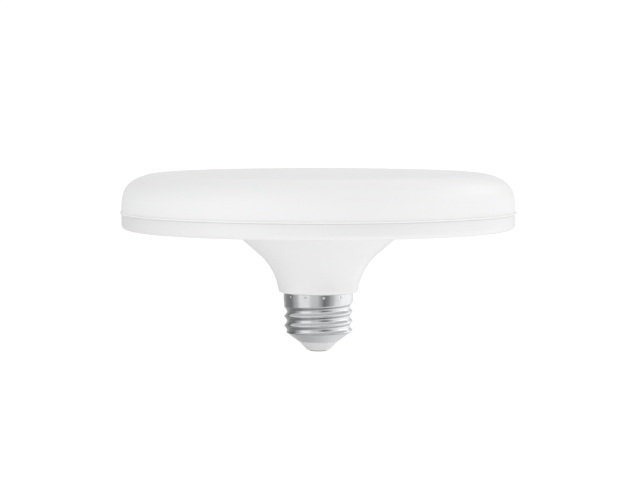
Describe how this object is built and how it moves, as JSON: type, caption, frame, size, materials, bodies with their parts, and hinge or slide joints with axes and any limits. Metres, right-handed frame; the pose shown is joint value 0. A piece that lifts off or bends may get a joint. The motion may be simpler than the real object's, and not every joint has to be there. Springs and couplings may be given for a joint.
{
  "type": "led disc lamp",
  "caption": "Wide disc lamp with an opal cover on a flared white housing, over an Edison screw cap with a centre contact.",
  "frame": {"origin": "on the axis at the lower face of the housing's collar, where the screw cap begins", "axes": "+Z along the axis from the cap to the disc, +X to the right and -Y towards the viewer in the picture"},
  "size_m": [0.151, 0.151, 0.0688],
  "materials": {
    "opal_plastic": "opal, satin smooth",
    "white_plastic": "white, satin smooth",
    "spreader_aluminium": "plain sheet",
    "board_aluminium": "white solder mask over metal core",
    "led_white": "white package with yellow phosphor",
    "screw_steel": "zinc plated",
    "terminal_white": "moulded",
    "shell_nickel": "nickel plated, rolled and bright",
    "insulator_plastic": "pale grey, smooth",
    "contact_tin": "tinned",
    "card_green": "green solder mask on glass laminate",
    "ferrite": "dark ferrite",
    "bobbin_black": "moulded",
    "winding_copper": "enamelled copper wire",
    "capacitor_sleeve": "can in a dark sleeve",
    "component_black": "moulded package",
    "fuse_sleeve": "resistor in a sleeve",
    "varistor_blue": "coated disc",
    "film_yellow": "boxed film capacitor",
    "lead_red": "insulated wire",
    "lead_black": "insulated wire",
    "lead_white": "insulated wire"
  },
  "bodies": {
    "root": {"diffuser_cover": "opal_plastic", "lamp_housing": "white_plastic", "heat_spreader": "spreader_aluminium", "led_board": "board_aluminium", "led_packages": "led_white", "board_screws": "screw_steel", "wire_terminal": "terminal_white", "screw_shell": "shell_nickel", "cap_insulator": "insulator_plastic", "centre_contact": "contact_tin", "driver_board": "card_green", "transformer_core": "ferrite", "transformer_bobbin": "bobbin_black", "transformer_winding": "winding_copper", "input_capacitor": "capacitor_sleeve", "output_capacitor": "capacitor_sleeve", "bridge_rectifier": "component_black", "driver_ic": "component_black", "output_diode": "component_black", "fuse_resistor": "fuse_sleeve", "varistor": "varistor_blue", "film_capacitor": "film_yellow", "emi_choke": "ferrite", "led_lead_positive": "lead_red", "led_lead_negative": "lead_black", "contact_lead": "lead_white", "shell_lead": "lead_white"}
  },
  "joints": []
}
